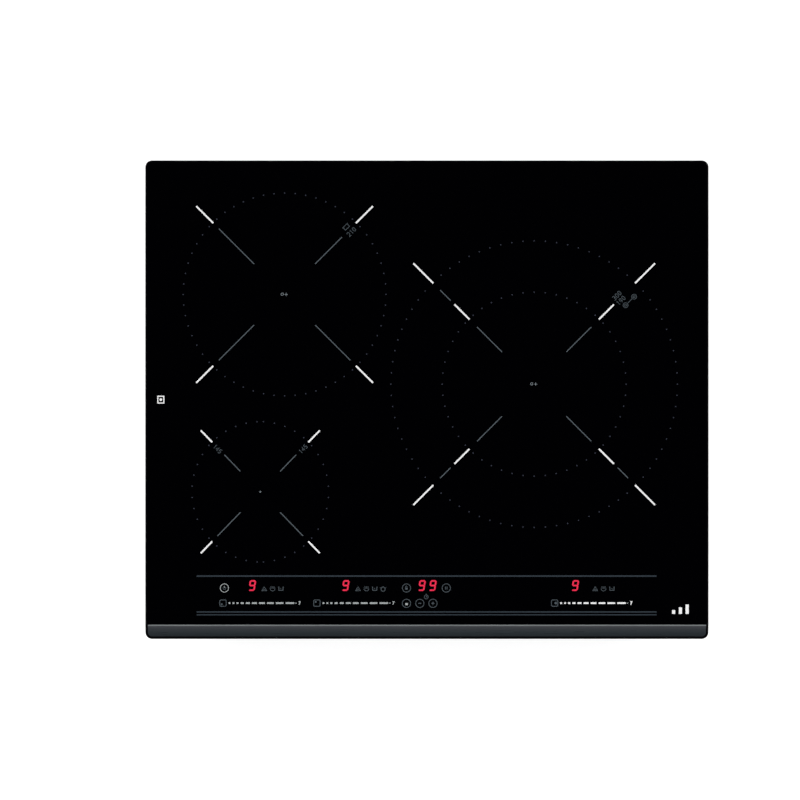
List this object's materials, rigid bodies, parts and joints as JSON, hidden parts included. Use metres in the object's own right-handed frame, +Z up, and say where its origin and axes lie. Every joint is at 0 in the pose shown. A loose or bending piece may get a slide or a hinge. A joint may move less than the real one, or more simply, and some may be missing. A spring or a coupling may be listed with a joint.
{
  "type": "induction hob",
  "caption": "Built-in induction hob: black ceramic glass with printed cooking zones and touch controls over a steel casing with sprung coils, blowers and a mains terminal box.",
  "frame": {"origin": "centre of the worktop cut-out, on the worktop's surface, which the underside of the foam seal rests on", "axes": "+Z up out of the worktop, +X to the user's right, -Y towards the user (the edge with the ground facet)"},
  "size_m": [0.6, 0.51, 0.0575],
  "materials": {
    "ceramic_glass": "polished black",
    "seal_foam": "matte foam",
    "silicone": "satin",
    "galvanised_steel": "galvanised, faint spangle",
    "zinc_screw": "zinc plated",
    "aluminium": "rolled satin",
    "mica": "flaky satin",
    "copper_litz": "enamelled strands",
    "ferrite": "sintered grey",
    "black_plastic": "moulded",
    "grey_plastic": "moulded",
    "ivory_plastic": "moulded",
    "spring_steel": "bright wire",
    "spring_contact": "tinned",
    "white_ceramic": "glazed",
    "circuit_board": "solder mask",
    "component_case": "moulded",
    "display_red": "dark red lens",
    "ribbon_grey": "flexible",
    "wire_brown": "flexible",
    "fan_plastic": "moulded",
    "brass_plate": "plated"
  },
  "bodies": {
    "casing": {"glass_top": "ceramic_glass", "glass_adhesive": "silicone", "perimeter_seal": "seal_foam", "support_frame": "galvanised_steel", "casing_rim": "galvanised_steel", "casing_pan": "galvanised_steel", "casing_screws": "zinc_screw", "coil_deck": "aluminium", "deck_pillars": "aluminium", "coil_springs_rear_left": "spring_steel", "coil_springs_front_left": "spring_steel", "coil_springs_right": "spring_steel", "control_housing": "grey_plastic", "control_board": "circuit_board", "display_modules": "display_red", "touch_pads": "spring_contact", "control_ribbon": "ribbon_grey", "power_board_left": "circuit_board", "power_parts_left": "component_case", "heat_sink_left": "aluminium", "power_board_right": "circuit_board", "power_parts_right": "component_case", "heat_sink_right": "aluminium", "filter_board": "circuit_board", "filter_parts": "component_case", "coil_leads": "copper_litz", "mains_wires": "wire_brown", "blower_housing_left": "black_plastic", "blower_housing_right": "black_plastic", "blower_motors": "zinc_screw", "terminal_housing": "black_plastic", "terminal_block": "ivory_plastic", "terminal_screws": "brass_plate", "clamp_screws": "zinc_screw"},
    "coil_rear_left": {"mica_rear_left": "mica", "winding_rear_left": "copper_litz", "former_rear_left": "black_plastic", "ferrites_rear_left": "ferrite", "coil_plate_rear_left": "aluminium", "sensor_rear_left": "white_ceramic"},
    "coil_front_left": {"mica_front_left": "mica", "winding_front_left": "copper_litz", "former_front_left": "black_plastic", "ferrites_front_left": "ferrite", "coil_plate_front_left": "aluminium", "sensor_front_left": "white_ceramic"},
    "coil_right": {"mica_right": "mica", "winding_right_inner": "copper_litz", "winding_right_outer": "copper_litz", "former_right": "black_plastic", "ferrites_right": "ferrite", "coil_plate_right": "aluminium", "sensor_right": "white_ceramic"},
    "blower_wheel_left": {"blower_wheel_left": "fan_plastic"},
    "blower_wheel_right": {"blower_wheel_right": "fan_plastic"},
    "terminal_flap": {"terminal_flap": "grey_plastic"},
    "clamp_front_left": {"clamp_front_left": "galvanised_steel"},
    "clamp_front_right": {"clamp_front_right": "galvanised_steel"},
    "clamp_rear_left": {"clamp_rear_left": "galvanised_steel"},
    "clamp_rear_right": {"clamp_rear_right": "galvanised_steel"}
  },
  "joints": [
    {"name": "coil_rear_left_slide", "type": "slide", "parent": "casing", "child": "coil_rear_left", "axis": [0, 0, 1], "range_m": [-0.003, 0], "stiffness_N_per_m": 3000, "springref_m": 0.005, "deforming": ["coil_springs_rear_left"]},
    {"name": "coil_front_left_slide", "type": "slide", "parent": "casing", "child": "coil_front_left", "axis": [0, 0, 1], "range_m": [-0.003, 0], "stiffness_N_per_m": 2000, "springref_m": 0.005, "deforming": ["coil_springs_front_left"]},
    {"name": "coil_right_slide", "type": "slide", "parent": "casing", "child": "coil_right", "axis": [0, 0, 1], "range_m": [-0.003, 0], "stiffness_N_per_m": 6000, "springref_m": 0.005, "deforming": ["coil_springs_right"]},
    {"name": "blower_left_spin", "type": "hinge", "parent": "casing", "child": "blower_wheel_left", "pos_m": [-0.145, -0.135, -0.037], "axis": [0, 0, 1], "continuous": true},
    {"name": "blower_right_spin", "type": "hinge", "parent": "casing", "child": "blower_wheel_right", "pos_m": [0.145, -0.135, -0.037], "axis": [0, 0, 1], "continuous": true},
    {"name": "terminal_flap_hinge", "type": "hinge", "parent": "casing", "child": "terminal_flap", "pos_m": [-0.167, 0.2258, -0.048], "axis": [1, 0, 0], "range_deg": [-90, 0]},
    {"name": "clamp_front_left_swivel", "type": "hinge", "parent": "casing", "child": "clamp_front_left", "pos_m": [-0.268, -0.15, -0.036], "axis": [0, 0, 1], "range_deg": [0, 90]},
    {"name": "clamp_front_right_swivel", "type": "hinge", "parent": "casing", "child": "clamp_front_right", "pos_m": [0.268, -0.15, -0.036], "axis": [0, 0, 1], "range_deg": [-90, 0]},
    {"name": "clamp_rear_left_swivel", "type": "hinge", "parent": "casing", "child": "clamp_rear_left", "pos_m": [-0.268, 0.15, -0.036], "axis": [0, 0, 1], "range_deg": [-90, 0]},
    {"name": "clamp_rear_right_swivel", "type": "hinge", "parent": "casing", "child": "clamp_rear_right", "pos_m": [0.268, 0.15, -0.036], "axis": [0, 0, 1], "range_deg": [0, 90]}
  ]
}
